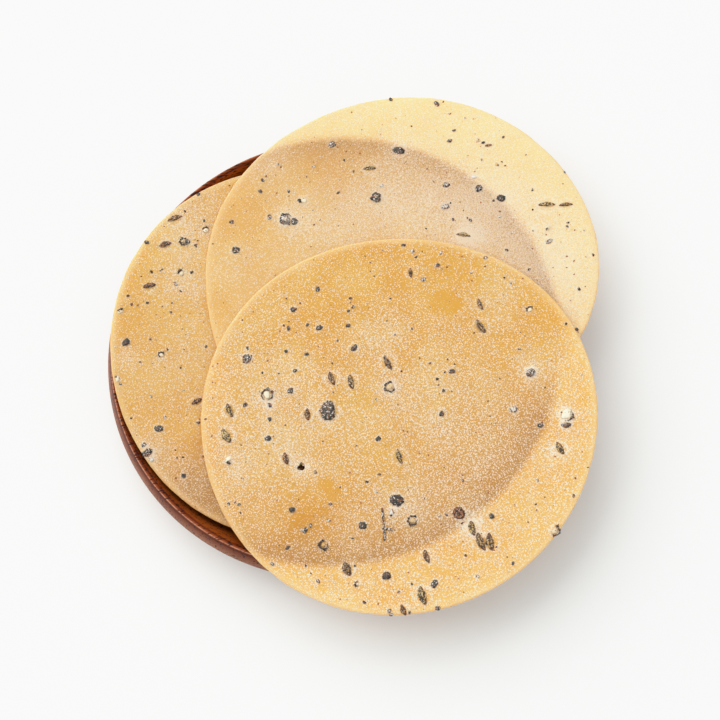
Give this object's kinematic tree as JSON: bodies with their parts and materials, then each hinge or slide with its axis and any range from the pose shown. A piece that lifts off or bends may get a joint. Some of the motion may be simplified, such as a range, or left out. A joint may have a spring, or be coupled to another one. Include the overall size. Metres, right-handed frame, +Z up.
{
  "type": "stack of pepper papadums",
  "caption": "Raw lentil wafers speckled with black pepper and cumin, stacked askew in a small turned wooden dish.",
  "frame": {"origin": "on the table, under the middle of the dish's flat foot", "axes": "+Z up along the axis of the turned dish, +Y away from the viewer of the picture, +X to the right"},
  "size_m": [0.1638, 0.171, 0.0239],
  "materials": {
    "dish_wood": "reddish brown lacquered wood with dark open pores",
    "papadum_dough": "dry rolled lentil dough, golden, slightly translucent, dusted with fine flour",
    "black_pepper": "cracked black peppercorn skin",
    "pepper_core": "pale inside of a cracked peppercorn",
    "cumin_seed": "ridged brown seed coat"
  },
  "bodies": {
    "root": {"dish": "dish_wood", "papadum_bottom": "papadum_dough", "papadum_middle": "papadum_dough", "papadum_top": "papadum_dough"}
  },
  "joints": []
}
